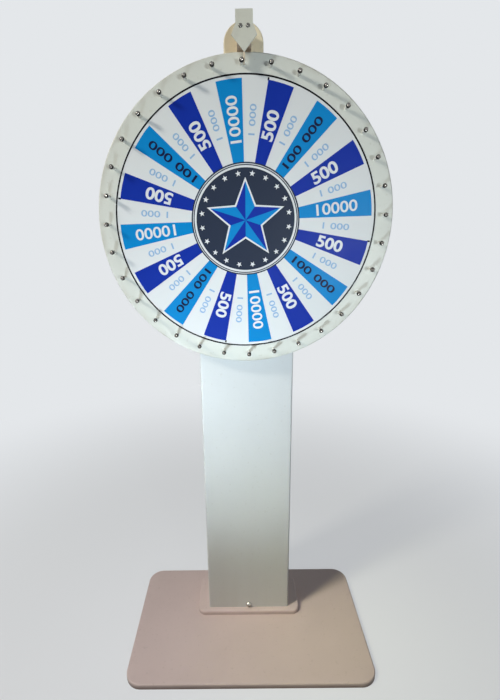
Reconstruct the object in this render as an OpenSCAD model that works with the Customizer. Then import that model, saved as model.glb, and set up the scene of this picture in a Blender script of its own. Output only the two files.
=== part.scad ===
// Prize wheel on a floor stand. A printed board with a ring of pegs turns on a ball-bearing
// shaft in a box column, and a leather flapper under the pointer clicks on the pegs.
// Millimetres. Origin under the middle of the base, X to the right, Y to the back, Z up.

/* [Base] */
// Width of the base board
base_w = 790; // [600:1:900]
// Depth of the base board
base_d = 470; // [380:1:600]
// Thickness of the base board and of the collar plate
board_t = 18; // [12:1:25]
// Corner radius of the base board
base_corner_r = 52; // [20:1:90]
// Round-over along the top edges of the base board and the collar plate
edge_r = 5; // [2:0.5:8]
// Margin of the collar plate at each side of the column
collar_side = 39; // [20:1:60]
// Margin of the collar plate in front of and behind the column
collar_front = 17; // [12:1:40]
// Corner radius of the collar plate
collar_corner_r = 26; // [12:1:40]

/* [Column] */
// Width of the column
column_w = 288; // [230:1:340]
// Depth of the column
column_d = 132; // [115:1:170]
// Thickness of the column's panels
panel_t = 15; // [12:1:18]
// Rounding of the column's upright edges
column_edge_r = 6; // [3:0.5:10]
// Setback of the column's front face behind the middle of the base
column_setback = 32; // [10:1:60]
// Reach of the column above the middle of the wheel
column_above = 181; // [150:1:260]
// Side of the square battens glued into the column's corners
batten_w = 20; // [15:1:24]
// Height of the plug that the column's foot slides over
plug_h = 90; // [60:1:140]
// Gap between the plug and the column's panels
plug_clear = 0.4; // [0.3:0.1:1]
// Height of the foot bolts above the collar plate
foot_bolt_rise = 12; // [11:0.5:25]
// Diameter of the foot bolts' domed heads
foot_bolt_head_d = 20; // [16:1:22]
// Panel screws up each side of the back
panel_screw_n = 6; // [4:1:9]

/* [Wheel] */
// Diameter of the wheel board
wheel_d = 800; // [600:1:1000]
// Thickness of the wheel board
wheel_t = 18; // [15:1:25]
// Rounding of the wheel board's edges
wheel_edge_r = 3; // [1:0.5:5]
// Height of the middle of the wheel
wheel_z = 1389; // [1200:1:1500]
// Gap between the back of the wheel board and the column
wheel_gap = 27; // [25:1:40]
// Plain rim outside the printed face
rim_w = 46; // [38:1:60]
// Sectors on the face, and pegs round the rim
sector_n = 32; // [16:8:48]
// Width of the dark line round the print
border_line_w = 4; // [2:0.5:6]
// White margin from the edge of the print to the dark line
border_margin = 1; // [0.5:0.5:5]
// White margin from the dark line to the coloured sectors
sector_margin = 7; // [4:0.5:15]
// Outer radius of the round centre of the print
medallion_r = 147; // [100:1:180]
// Width of the outer dark ring of the centre
medallion_outer_w = 3.5; // [1:0.5:5]
// Width of the inner dark ring of the centre
medallion_inner_w = 2.5; // [1:0.5:5]
// White ring between the two dark rings of the centre
medallion_gap = 2; // [1:0.5:6]
// White ring round the dark disc of the centre
medallion_white_w = 5.5; // [4:0.5:12]
// Thickness of the printed film
film_t = 0.4; // [0.2:0.1:1]

/* [Pegs] */
// Distance of the pegs' axes from the rim
peg_inset = 28; // [18:0.5:34]
// Diameter of the peg posts
peg_post_d = 9; // [7:0.5:12]
// Length of the peg posts in front of the board
peg_post_l = 27; // [20:1:40]
// Diameter of the domed peg caps
peg_cap_d = 12; // [10:0.5:16]
// Length of the domed peg caps
peg_cap_l = 8; // [7:0.5:12]
// Diameter of the screws that hold the pegs
peg_screw_d = 5; // [4:0.5:6]

/* [Shaft and bearings] */
// Diameter of the shaft
shaft_d = 20; // [16:1:24]
// Outer diameter of the bearings
bearing_od = 47; // [42:1:52]
// Width of the bearings
bearing_w = 14; // [12:1:16]
// Diameter of the bearing balls
ball_d = 8; // [6:0.1:8.5]
// Balls in each bearing
ball_n = 8; // [6:1:9]
// Clearance of the balls in their grooves
race_gap = 0.1; // [0.05:0.01:0.2]
// Diameter of the bearing housings' flanges
housing_flange_d = 98; // [94:1:110]
// Thickness of the bearing housings' flanges
housing_flange_t = 8; // [6:1:12]
// Wall round each bearing in its housing
housing_wall = 7; // [6:0.5:8]
// Lip that each bearing seats on
housing_lip = 4; // [3:0.5:6]
// Diameter of the hub's flange
hub_flange_d = 140; // [120:1:180]
// Thickness of the hub's flange
hub_flange_t = 8; // [6:1:10]
// Diameter of the hub's boss
hub_boss_d = 44; // [38:1:50]
// Gap between the hub's boss and the column
hub_gap = 4; // [3:0.5:6]
// Screws that hold the hub to the wheel board
hub_screw_n = 6; // [4:1:8]
// Length of the lock collar at the shaft's rear end
lock_collar_l = 12; // [10:1:16]

/* [Pointer] */
// Width of the pointer's post
post_w = 104; // [90:1:130]
// Thickness of the pointer's post
post_t = 18; // [15:1:22]
// Rounding of the post's edges
post_edge_r = 3; // [1:0.5:5]
// Reach of the post above the rim of the wheel
post_above = 91; // [85:1:120]
// Width of the pointer's block
block_w = 35; // [28:1:40]
// Height of the pointer's block
block_h = 52; // [50:1:70]
// Gap between the rim of the wheel and the pointer's block
block_gap = 5; // [3:0.5:10]
// Distance of the pointer plate's back from the wheel's face
pointer_stand_off = 27; // [25:1:34]
// Thickness of the pointer plate
pointer_t = 5; // [3:0.5:8]
// Width of the pointer's stem
pointer_stem_w = 42; // [38:1:50]
// Width across the pointer's barbs
pointer_barb_w = 62; // [54:0.5:75]
// Height of the pointer plate
pointer_h = 88; // [85:1:110]
// Height of the V below the barbs
pointer_v_h = 36; // [30:1:45]
// Height of the slope above the barbs
pointer_flare_h = 22; // [8:1:24]
// Overlap of the pointer's tip on the rim of the wheel
pointer_overlap = 12; // [4:1:15]
// Spacing of the two pointer screws
pointer_screw_gap = 18; // [14:1:20]
// Thickness of the leather flapper
flapper_t = 4; // [3:0.5:6]
// Width of the leather flapper
flapper_w = 18; // [12:1:20]
// Length of the flapper that hangs below the block
flapper_reach = 39; // [34:1:44]
// Length of the flapper inside the block's slot
flapper_grip = 26; // [20:1:30]
// Gap between the flapper and the peg beside it at rest
flapper_gap = 0.3; // [0.2:0.1:1]

/* [Hidden] */
$fn = 64;

// Overshoot of a cutting solid past the face that it opens
cut = 1;

// Levels and planes of the stand
collar_z = 2 * board_t;
column_top_z = wheel_z + column_above;
column_h = column_top_z - collar_z;
column_y = column_setback + column_d / 2;
front_inner_y = column_setback + panel_t;
back_outer_y = column_setback + column_d;
back_inner_y = back_outer_y - panel_t;
plug_w = column_w - 2 * panel_t - 2 * plug_clear;
plug_d = column_d - 2 * panel_t - 2 * plug_clear;
batten_top_gap = 2;
batten_foot_gap = 10;
batten_x = column_w / 2 - panel_t - batten_w / 2;
batten_z = collar_z + plug_h + batten_foot_gap;
batten_h = column_top_z - batten_z - batten_top_gap;

// Planes and radii of the wheel
wheel_r = wheel_d / 2;
wheel_back_y = column_setback - wheel_gap;
wheel_face_y = wheel_back_y - wheel_t;
sector_angle = 360 / sector_n;
peg_circle_r = wheel_r - peg_inset;
print_r = wheel_r - rim_w;
border_outer_r = print_r - border_margin;
border_inner_r = border_outer_r - border_line_w;
sector_outer_r = border_inner_r - sector_margin;
medallion_disc_r = medallion_r - medallion_outer_w - medallion_gap - medallion_inner_w - medallion_white_w;
// The wheel rests with one peg against the left side of the flapper
rest_angle = -asin((peg_post_d / 2 + flapper_t / 2 + flapper_gap) / peg_circle_r);

// Shaft, hub and bearings along Y
bearing_pitch_r = (shaft_d + bearing_od) / 4;
ring_land = 0.3 * ball_d;
ring_overhang = 1;
housing_rim = 3.5;
housing_depth = housing_lip + bearing_w + housing_rim;
circlip_t = 1.75;
circlip_depth = 1.3;
circlip_fit = 0.05;
circlip_reach = 2.5;
circlip_gap = 9;
front_bearing_y = front_inner_y + housing_lip;
rear_bearing_y = back_outer_y + housing_lip;
shaft_hole_clear = 7;
shaft_hole_d = shaft_d + 2 * shaft_hole_clear;
spacer_wall = 4;
spacer_d = shaft_d + 2 * spacer_wall;
shaft_pocket = 10;
shaft_front_y = wheel_back_y - shaft_pocket;
shaft_tail = 4;
lock_collar_y = rear_bearing_y + bearing_w + ring_overhang;
shaft_rear_y = lock_collar_y + lock_collar_l + shaft_tail;
hub_back_y = column_setback - hub_gap;
hub_screw_r = hub_boss_d / 2 + (hub_flange_d - hub_boss_d) / 4;
hub_set_screw_y = (wheel_back_y + hub_flange_t + hub_back_y) / 2;
lock_screw_y = lock_collar_y + lock_collar_l / 2;
lock_collar_wall = 9;
lock_collar_d = shaft_d + 2 * lock_collar_wall;

// Fasteners
bolt_d = 8;
bolt_nut_af = 13;
bolt_nut_h = 6.5;
bolt_tail = 2;
bearing_bolt_n = 4;
bearing_bolt_r = (housing_flange_d / 2 + bearing_od / 2 + housing_wall) / 2;
bearing_bolt_head_d = 14;
bearing_bolt_head_h = 4;
insert_d = 12;
insert_l = 18;
insert_bore_l = 22;
foot_bolt_head_h = 5;
base_screw_d = 6;
base_screw_head_d = 12;
base_screw_l = 80;
base_screw_sink = 1;
base_screw_side_inset = 40;
base_screw_front_inset = 22;
base_screw_x = plug_w / 2 - base_screw_side_inset;
base_screw_y = plug_d / 2 - base_screw_front_inset;
wood_screw_d = 4;
wood_screw_head_d = 8;
panel_screw_l = 45;
post_screw_stop = 4;
post_screw_l = panel_t + post_t - post_screw_stop;
post_screw_side_inset = 20;
post_screw_end_inset = 25;
post_screw_x = post_w / 2 - post_screw_side_inset;
block_screw_l = 60;
block_screw_inset = 12;
set_screw_d = 6;
set_screw_sink = 2;
hub_screw_stop = 6;
hub_screw_depth = wheel_t - hub_screw_stop;

// Pointer, block and post
rim_top_z = wheel_z + wheel_r;
post_y = front_inner_y;
post_top_z = rim_top_z + post_above;
post_foot_gap = 8;
post_bottom_z = wheel_z + housing_flange_d / 2 + post_foot_gap;
post_arch_z = post_top_z - post_w / 2;
post_clear = 0.4;
block_z = rim_top_z + block_gap;
block_front_y = wheel_face_y - pointer_stand_off;
pointer_tip_z = rim_top_z - pointer_overlap;
pointer_barb_z = pointer_tip_z + pointer_v_h;
pointer_stem_z = pointer_barb_z + pointer_flare_h;
pointer_top_z = pointer_tip_z + pointer_h;
pointer_screw_d = 5;
pointer_screw_l = 25;
pointer_screw_drop = 15;
pointer_screw_z = block_z + block_h - pointer_screw_drop;
flapper_front_gap = 1.5;
flapper_y = block_front_y + flapper_front_gap + flapper_w / 2;
flapper_slot_gap = 0.1;
flapper_corner_r = flapper_w / 3;
flapper_pin_d = 4;
flapper_pin_z = block_z + flapper_grip / 2;

// Paint and metal as they look on the real thing
base_paint = [0.72, 0.66, 0.63];
white_paint = [0.86, 0.87, 0.86];
pointer_paint = [0.74, 0.74, 0.70];
raw_wood = [0.72, 0.58, 0.42];
steel = [0.62, 0.63, 0.65];
bright_steel = [0.80, 0.81, 0.83];
brass = [0.78, 0.66, 0.36];
grey_casting = [0.35, 0.37, 0.39];
navy_film = [0.15, 0.17, 0.25];

// Turns local +Z to the front of the stand
module facing_front(x, y, z) {
    translate([x, y, z]) rotate([90, 0, 0]) children();
}

// Turns local +Z to the back of the stand
module facing_back(x, y, z) {
    translate([x, y, z]) rotate([-90, 0, 0]) children();
}

// Repeats round the wheel's axis, clockwise seen from the front, with +Y local to the rim
module round_wheel(count, radius, first, y) {
    for (i = [0 : count - 1]) {
        angle = first + i * 360 / count;
        facing_front(radius * sin(angle), y, wheel_z + radius * cos(angle)) children();
    }
}

// Section of a board's edge, rounded over at the top
module edge_section(run, t, round_r) {
    square([run - round_r, t]);
    square([run, t - round_r]);
    translate([run - round_r, t - round_r]) circle(r = round_r);
}

// Flat board with round corners and a rounded top edge
module rounded_board(w, d, t, corner_r, round_r) {
    long = w - 2 * corner_r;
    deep = d - 2 * corner_r;
    translate([-long / 2, -deep / 2, 0]) cube([long, deep, t]);
    for (side = [0, 1]) {
        mirror([side, 0, 0]) translate([long / 2, deep / 2, 0]) rotate([90, 0, 0])
            linear_extrude(deep) edge_section(corner_r, t, round_r);
        mirror([0, side, 0]) translate([-long / 2, deep / 2, 0]) rotate([90, 0, 90])
            linear_extrude(long) edge_section(corner_r, t, round_r);
        for (end = [0, 1]) mirror([side, 0, 0]) mirror([0, end, 0]) translate([long / 2, deep / 2, 0])
            rotate_extrude(angle = 90) edge_section(corner_r, t, round_r);
    }
}

// Rectangle with all four corners rounded
module rounded_section(w, t, round_r) {
    square([w - 2 * round_r, t], center = true);
    square([w, t - 2 * round_r], center = true);
    for (x = [-1, 1], y = [-1, 1])
        translate([x * (w / 2 - round_r), y * (t / 2 - round_r)]) circle(r = round_r);
}

// Plan of a column panel, square at the back and rounded at its two front corners
module panel_section(w, t, round_r) {
    translate([-w / 2, round_r]) square([w, t - round_r]);
    translate([-w / 2 + round_r, 0]) square([w - 2 * round_r, t]);
    for (x = [-1, 1]) translate([x * (w / 2 - round_r), round_r]) circle(r = round_r);
}

// Domed head standing on z = 0
module dome_head(d, h) {
    ball_r = (d * d / 4 + h * h) / (2 * h);
    intersection() {
        cylinder(d = d, h = h);
        translate([0, 0, h - ball_r]) sphere(r = ball_r);
    }
}

// Screw with a domed head on z = 0 and its shank below
module dome_screw(d, l, head_d, head_h) {
    dome_head(head_d, head_h);
    translate([0, 0, -l]) cylinder(d = d, h = l);
}

// Countersunk screw with the top of its head on z = 0
module sunk_screw(d, l, head_d) {
    head_h = (head_d - d) / 2;
    translate([0, 0, -head_h]) cylinder(d1 = d, d2 = head_d, h = head_h);
    translate([0, 0, -l]) cylinder(d = d, h = l);
}

// Ring of a ball bearing with its groove, from z = 0
module race(inner_r, outer_r, w) {
    rotate_extrude() difference() {
        translate([inner_r, 0]) square([outer_r - inner_r, w]);
        translate([bearing_pitch_r, w / 2]) circle(r = ball_d / 2 + race_gap);
    }
}

// Bearing positions: each child stands on the bearing's front face, facing back
module at_bearing(y) {
    facing_back(0, y, wheel_z) children();
}

// Flanged housing, mounted on z = 0, with the bearing seated on its lip
module housing() {
    boss_d = bearing_od + 2 * housing_wall;
    difference() {
        union() {
            cylinder(d = housing_flange_d, h = housing_flange_t);
            cylinder(d = boss_d, h = housing_depth);
        }
        translate([0, 0, -cut]) cylinder(r = bearing_pitch_r + ring_land, h = housing_depth + 2 * cut);
        translate([0, 0, housing_lip]) cylinder(d = bearing_od, h = housing_depth);
        translate([0, 0, housing_lip + bearing_w - circlip_fit])
            cylinder(d = bearing_od + 2 * circlip_depth, h = circlip_t + 2 * circlip_fit);
        bearing_bolt_places() translate([0, 0, -cut]) cylinder(d = bolt_d, h = housing_flange_t + 2 * cut);
    }
}

// The four bolts round a bearing housing
module bearing_bolt_places() {
    for (i = [0 : bearing_bolt_n - 1])
        rotate([0, 0, 45 + i * 360 / bearing_bolt_n]) translate([bearing_bolt_r, 0, 0]) children();
}

// Bolt through a panel and a housing, head on z = 0
module bearing_bolt() {
    grip = panel_t + housing_flange_t + bolt_nut_h + bolt_tail;
    dome_screw(bolt_d, grip, bearing_bolt_head_d, bearing_bolt_head_h);
}

// Hexagon nut on z = 0
module hex_nut() {
    difference() {
        cylinder(d = bolt_nut_af / cos(30), h = bolt_nut_h, $fn = 6);
        translate([0, 0, -cut]) cylinder(d = bolt_d, h = bolt_nut_h + 2 * cut);
    }
}

// Places of the screws through the base into the plug, standing on z = 0
module base_screw_places() {
    for (x = [-1, 1], y = [-1, 1])
        translate([x * base_screw_x, column_y + y * base_screw_y, base_screw_sink])
            rotate([180, 0, 0]) children();
}

// Places of the foot bolts' heads on the front and back of the column
module foot_bolt_places() {
    facing_front(0, column_setback, collar_z + foot_bolt_rise) children();
    facing_back(0, back_outer_y, collar_z + foot_bolt_rise) children();
}

// Places of the screws up the two sides of the back panel
module panel_screw_places() {
    margin = plug_h;
    pitch = (column_h - 2 * margin) / (panel_screw_n - 1);
    for (x = [-1, 1], i = [0 : panel_screw_n - 1])
        facing_back(x * (column_w - panel_t) / 2, back_outer_y, collar_z + margin + i * pitch) children();
}

// Places of the screws through the top cap into the battens
module cap_screw_places() {
    for (x = [-1, 1], y = [front_inner_y + batten_w / 2, back_inner_y - batten_w / 2])
        translate([x * batten_x, y, column_top_z + panel_t]) children();
}

// Places of the screws through the front panel into the post
module post_screw_places() {
    for (x = [-1, 1], z = [post_bottom_z + post_screw_end_inset, column_top_z - post_screw_end_inset])
        facing_front(x * post_screw_x, column_setback, z) children();
}

// Places of the screws through the post into the pointer's block
module block_screw_places() {
    for (z = [block_z + block_screw_inset, block_z + block_h - block_screw_inset])
        facing_back(0, post_y + post_t, z) children();
}

// Places of the two screws in the pointer plate
module pointer_screw_places() {
    for (x = [-1, 1])
        facing_front(x * pointer_screw_gap / 2, block_front_y - pointer_t, pointer_screw_z) children();
}

// Places of the screws through the hub's flange into the wheel board
module hub_screw_places() {
    for (i = [0 : hub_screw_n - 1]) {
        angle = (i + 0.5) * 360 / hub_screw_n;
        facing_back(hub_screw_r * sin(angle), wheel_back_y + hub_flange_t, wheel_z + hub_screw_r * cos(angle))
            children();
    }
}

// Axis of the flapper's pin, from x to the right
module flapper_pin_place(x) {
    translate([x, flapper_y, flapper_pin_z]) rotate([0, 90, 0]) children();
}

// Ring of film on the wheel, from z = 0 towards the front
module film_ring(inner_r, outer_r) {
    difference() {
        cylinder(r = outer_r, h = film_t);
        translate([0, 0, -cut]) cylinder(r = inner_r, h = film_t + 2 * cut);
    }
}

// Every fourth sector of the face, counted clockwise from the top peg
module film_sectors(first) {
    for (i = [first : 4 : sector_n - 1]) {
        end_angle = 90 - rest_angle - (i + 1) * sector_angle;
        facing_front(0, wheel_face_y - film_t, wheel_z) rotate([0, 0, end_angle])
            rotate_extrude(angle = sector_angle) translate([medallion_r, 0])
                square([sector_outer_r - medallion_r, film_t]);
    }
}

// Base and foot of the column

module base_board() {
    color(base_paint) difference() {
        rounded_board(base_w, base_d, board_t, base_corner_r, edge_r);
        base_screw_places() sunk_screw(base_screw_d, base_screw_l, base_screw_head_d);
        base_screw_places() cylinder(d = base_screw_head_d, h = base_screw_sink + cut);
    }
}

module collar_plate() {
    color(base_paint) difference() {
        translate([0, column_y, board_t]) rounded_board(
            column_w + 2 * collar_side, column_d + 2 * collar_front, board_t, collar_corner_r, edge_r
        );
        base_screw_places() sunk_screw(base_screw_d, base_screw_l, base_screw_head_d);
    }
}

module plug_block() {
    color(raw_wood) difference() {
        translate([-plug_w / 2, column_y - plug_d / 2, collar_z]) cube([plug_w, plug_d, plug_h]);
        base_screw_places() sunk_screw(base_screw_d, base_screw_l, base_screw_head_d);
        foot_bolt_places() translate([0, 0, -panel_t - plug_clear - insert_l])
            cylinder(d = insert_d, h = insert_l + cut);
        foot_bolt_places() translate([0, 0, -panel_t - plug_clear - insert_bore_l])
            cylinder(d = bolt_d, h = insert_bore_l);
    }
}

module base_screws() {
    color(steel) base_screw_places() sunk_screw(base_screw_d, base_screw_l, base_screw_head_d);
}

module plug_inserts() {
    color(brass) foot_bolt_places() translate([0, 0, -panel_t - plug_clear - insert_l]) difference() {
        cylinder(d = insert_d, h = insert_l);
        translate([0, 0, -cut]) cylinder(d = bolt_d, h = insert_l + 2 * cut);
    }
}

module foot_bolts() {
    color(bright_steel) foot_bolt_places()
        dome_screw(bolt_d, panel_t + plug_clear + insert_l, foot_bolt_head_d, foot_bolt_head_h);
}

// Column

module column_front_panel() {
    color(white_paint) difference() {
        translate([0, column_setback, collar_z])
            linear_extrude(column_h) panel_section(column_w, panel_t, column_edge_r);
        facing_back(0, column_setback - cut, wheel_z) cylinder(d = shaft_hole_d, h = panel_t + 2 * cut);
        facing_front(0, column_setback, wheel_z) bearing_bolt_places() bearing_bolt();
        post_screw_places() sunk_screw(wood_screw_d, post_screw_l, wood_screw_head_d);
        foot_bolt_places() dome_screw(bolt_d, panel_t + cut, foot_bolt_head_d, foot_bolt_head_h);
    }
}

module column_back_panel() {
    color(white_paint) difference() {
        translate([0, back_outer_y, collar_z]) mirror([0, 1, 0])
            linear_extrude(column_h) panel_section(column_w, panel_t, column_edge_r);
        facing_back(0, back_inner_y - cut, wheel_z) cylinder(d = shaft_hole_d, h = panel_t + 2 * cut);
        facing_back(0, back_outer_y + housing_flange_t, wheel_z) bearing_bolt_places() bearing_bolt();
        panel_screw_places() sunk_screw(wood_screw_d, panel_screw_l, wood_screw_head_d);
        foot_bolt_places() dome_screw(bolt_d, panel_t + cut, foot_bolt_head_d, foot_bolt_head_h);
    }
}

module column_side(x) {
    color(white_paint) difference() {
        translate([x * (column_w - panel_t) / 2 - panel_t / 2, front_inner_y, collar_z])
            cube([panel_t, back_inner_y - front_inner_y, column_h]);
        panel_screw_places() sunk_screw(wood_screw_d, panel_screw_l, wood_screw_head_d);
    }
}

module column_left_side() {
    column_side(-1);
}

module column_right_side() {
    column_side(1);
}

module corner_battens() {
    color(raw_wood) difference() {
        for (x = [-1, 1], y = [front_inner_y, back_inner_y - batten_w])
            translate([x * batten_x - batten_w / 2, y, batten_z]) cube([batten_w, batten_w, batten_h]);
        cap_screw_places() sunk_screw(wood_screw_d, panel_screw_l, wood_screw_head_d);
    }
}

module column_top_cap() {
    color(white_paint) difference() {
        translate([0, column_y, column_top_z])
            rounded_board(column_w, column_d, panel_t, column_edge_r, column_edge_r / 2);
        translate([-post_w / 2 - post_clear, post_y - post_clear, column_top_z - cut])
            cube([post_w + 2 * post_clear, post_t + 2 * post_clear, panel_t + 2 * cut]);
        cap_screw_places() sunk_screw(wood_screw_d, panel_screw_l, wood_screw_head_d);
    }
}

module panel_screws() {
    color(steel) {
        panel_screw_places() sunk_screw(wood_screw_d, panel_screw_l, wood_screw_head_d);
        cap_screw_places() sunk_screw(wood_screw_d, panel_screw_l, wood_screw_head_d);
    }
}

// Bearings

module bearing_outer_ring(y) {
    color(bright_steel) at_bearing(y) race(bearing_pitch_r + ring_land, bearing_od / 2, bearing_w);
}

module bearing_inner_ring(y) {
    color(bright_steel) at_bearing(y - ring_overhang)
        race(shaft_d / 2, bearing_pitch_r - ring_land, bearing_w + 2 * ring_overhang);
}

module bearing_balls(y) {
    color(bright_steel) at_bearing(y + bearing_w / 2) for (i = [0 : ball_n - 1])
        rotate([0, 0, i * 360 / ball_n]) translate([bearing_pitch_r, 0, 0]) sphere(d = ball_d);
}

module bearing_cage(y) {
    cage_half_t = 0.15 * ball_d;
    cage_rim = 1;
    cage_w = ball_d + 2 * cage_rim;
    color(brass) at_bearing(y + bearing_w / 2) difference() {
        translate([0, 0, -cage_w / 2]) cylinder(r = bearing_pitch_r + cage_half_t, h = cage_w);
        translate([0, 0, -cage_w]) cylinder(r = bearing_pitch_r - cage_half_t, h = 2 * cage_w);
        for (i = [0 : ball_n - 1]) rotate([0, 0, i * 360 / ball_n]) translate([bearing_pitch_r, 0, 0])
            rotate([0, 90, 0]) cylinder(d = ball_d + 2 * race_gap, h = 4 * cage_half_t, center = true);
    }
}

module front_bearing_housing() {
    color(grey_casting) at_bearing(front_inner_y) housing();
}

module front_bearing_outer_ring() {
    bearing_outer_ring(front_bearing_y);
}

module front_bearing_inner_ring() {
    bearing_inner_ring(front_bearing_y);
}

module front_bearing_balls() {
    bearing_balls(front_bearing_y);
}

module front_bearing_cage() {
    bearing_cage(front_bearing_y);
}

module rear_bearing_housing() {
    color(grey_casting) at_bearing(back_outer_y) housing();
}

module rear_bearing_outer_ring() {
    bearing_outer_ring(rear_bearing_y);
}

module rear_bearing_inner_ring() {
    bearing_inner_ring(rear_bearing_y);
}

module rear_bearing_balls() {
    bearing_balls(rear_bearing_y);
}

module rear_bearing_cage() {
    bearing_cage(rear_bearing_y);
}

module bearing_circlips() {
    inner_r = bearing_od / 2 - circlip_reach;
    color(steel) for (y = [front_bearing_y, rear_bearing_y]) at_bearing(y + bearing_w) difference() {
        cylinder(r = bearing_od / 2 + circlip_depth - circlip_fit, h = circlip_t);
        translate([0, 0, -cut]) cylinder(r = inner_r, h = circlip_t + 2 * cut);
        translate([-circlip_gap / 2, 0, -cut]) cube([circlip_gap, bearing_od, circlip_t + 2 * cut]);
    }
}

module bearing_bolts() {
    color(bright_steel) {
        facing_front(0, column_setback, wheel_z) bearing_bolt_places() bearing_bolt();
        facing_back(0, back_outer_y + housing_flange_t, wheel_z) bearing_bolt_places() bearing_bolt();
    }
}

module bearing_nuts() {
    color(steel) {
        facing_back(0, front_inner_y + housing_flange_t, wheel_z) bearing_bolt_places() hex_nut();
        facing_front(0, back_inner_y, wheel_z) bearing_bolt_places() hex_nut();
    }
}

// Shaft and hub

module shaft() {
    chamfer = 1;
    color(steel) facing_back(0, shaft_front_y, wheel_z) {
        cylinder(d1 = shaft_d - 2 * chamfer, d2 = shaft_d, h = chamfer);
        translate([0, 0, chamfer]) cylinder(d = shaft_d, h = shaft_rear_y - shaft_front_y - 2 * chamfer);
        translate([0, 0, shaft_rear_y - shaft_front_y - chamfer])
            cylinder(d1 = shaft_d, d2 = shaft_d - 2 * chamfer, h = chamfer);
    }
}

module hub_spacer() {
    spacer_l = front_bearing_y - ring_overhang - hub_back_y;
    color(steel) facing_back(0, hub_back_y, wheel_z) difference() {
        cylinder(d = spacer_d, h = spacer_l);
        translate([0, 0, -cut]) cylinder(d = shaft_d, h = spacer_l + 2 * cut);
    }
}

// The set screw runs down through the boss to the shaft
module hub_set_screw() {
    color(steel) translate([0, hub_set_screw_y, wheel_z + shaft_d / 2])
        cylinder(d = set_screw_d, h = (hub_boss_d - shaft_d) / 2 - set_screw_sink);
}

module hub_flange() {
    color([0.70, 0.71, 0.72]) difference() {
        facing_back(0, wheel_back_y, wheel_z) union() {
            cylinder(d = hub_flange_d, h = hub_flange_t);
            cylinder(d = hub_boss_d, h = hub_back_y - wheel_back_y);
        }
        facing_back(0, wheel_back_y - cut, wheel_z)
            cylinder(d = shaft_d, h = hub_back_y - wheel_back_y + 2 * cut);
        translate([0, hub_set_screw_y, wheel_z]) cylinder(d = set_screw_d, h = hub_boss_d);
        hub_screw_places() translate([0, 0, -2 * hub_flange_t]) cylinder(d = bolt_d, h = 3 * hub_flange_t);
    }
}

module hub_screws() {
    color(bright_steel) hub_screw_places()
        dome_screw(bolt_d, hub_flange_t + hub_screw_depth, bearing_bolt_head_d, bearing_bolt_head_h);
}

module lock_collar() {
    color(steel) difference() {
        facing_back(0, lock_collar_y, wheel_z) difference() {
            cylinder(d = lock_collar_d, h = lock_collar_l);
            translate([0, 0, -cut]) cylinder(d = shaft_d, h = lock_collar_l + 2 * cut);
        }
        translate([0, lock_screw_y, wheel_z]) cylinder(d = set_screw_d, h = lock_collar_d);
    }
}

module lock_collar_screw() {
    color(bright_steel) translate([0, lock_screw_y, wheel_z + shaft_d / 2])
        cylinder(d = set_screw_d, h = lock_collar_wall - set_screw_sink);
}

// Wheel

module wheel_board() {
    color(white_paint) difference() {
        facing_front(0, wheel_back_y, wheel_z) rotate_extrude($fn = 128) {
            square([wheel_r - wheel_edge_r, wheel_t]);
            translate([0, wheel_edge_r]) square([wheel_r, wheel_t - 2 * wheel_edge_r]);
            for (y = [wheel_edge_r, wheel_t - wheel_edge_r])
                translate([wheel_r - wheel_edge_r, y]) circle(r = wheel_edge_r);
        }
        facing_back(0, shaft_front_y, wheel_z) cylinder(d = shaft_d, h = wheel_t);
        hub_screw_places() translate([0, 0, -hub_flange_t - hub_screw_depth])
            cylinder(d = bolt_d, h = wheel_t);
        round_wheel(sector_n, peg_circle_r, rest_angle, wheel_back_y + cut)
            cylinder(d = peg_screw_d, h = wheel_t + 2 * cut);
    }
}

module face_print() {
    color([0.90, 0.92, 0.93]) facing_front(0, wheel_face_y, wheel_z)
        cylinder(r = print_r, h = film_t, $fn = 128);
}

module azure_sectors() {
    color([0.02, 0.52, 0.82]) film_sectors(3);
}

module royal_sectors() {
    color([0.10, 0.15, 0.62]) film_sectors(1);
}

module border_line() {
    color([0.05, 0.05, 0.07]) facing_front(0, wheel_face_y - film_t, wheel_z)
        film_ring(border_inner_r, border_outer_r);
}

module medallion_disc() {
    color(navy_film) facing_front(0, wheel_face_y - film_t, wheel_z)
        cylinder(r = medallion_disc_r, h = film_t);
}

module medallion_rings() {
    inner_ring_r = medallion_disc_r + medallion_white_w;
    color(navy_film) facing_front(0, wheel_face_y - film_t, wheel_z) {
        film_ring(inner_ring_r, inner_ring_r + medallion_inner_w);
        film_ring(medallion_r - medallion_outer_w, medallion_r);
    }
}

module peg_posts() {
    color([0.90, 0.90, 0.86]) round_wheel(sector_n, peg_circle_r, rest_angle, wheel_face_y) difference() {
        cylinder(d = peg_post_d, h = peg_post_l);
        translate([0, 0, -cut]) cylinder(d = peg_screw_d, h = peg_post_l + 2 * cut);
    }
}

module peg_caps() {
    skirt = peg_cap_l / 4;
    thread = peg_cap_l / 2;
    post_end_y = wheel_face_y - peg_post_l;
    color(bright_steel) round_wheel(sector_n, peg_circle_r, rest_angle, post_end_y) difference() {
        union() {
            cylinder(d = peg_cap_d, h = skirt);
            translate([0, 0, skirt]) dome_head(peg_cap_d, peg_cap_l - skirt);
        }
        translate([0, 0, -cut]) cylinder(d = peg_screw_d, h = thread + cut);
    }
}

module peg_screws() {
    head_d = 2 * peg_screw_d;
    head_h = 0.6 * peg_screw_d;
    color(steel) round_wheel(sector_n, peg_circle_r, rest_angle, wheel_back_y) {
        cylinder(d = peg_screw_d, h = wheel_t + peg_post_l + peg_cap_l / 2);
        mirror([0, 0, 1]) dome_head(head_d, head_h);
    }
}

// Pointer

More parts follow.
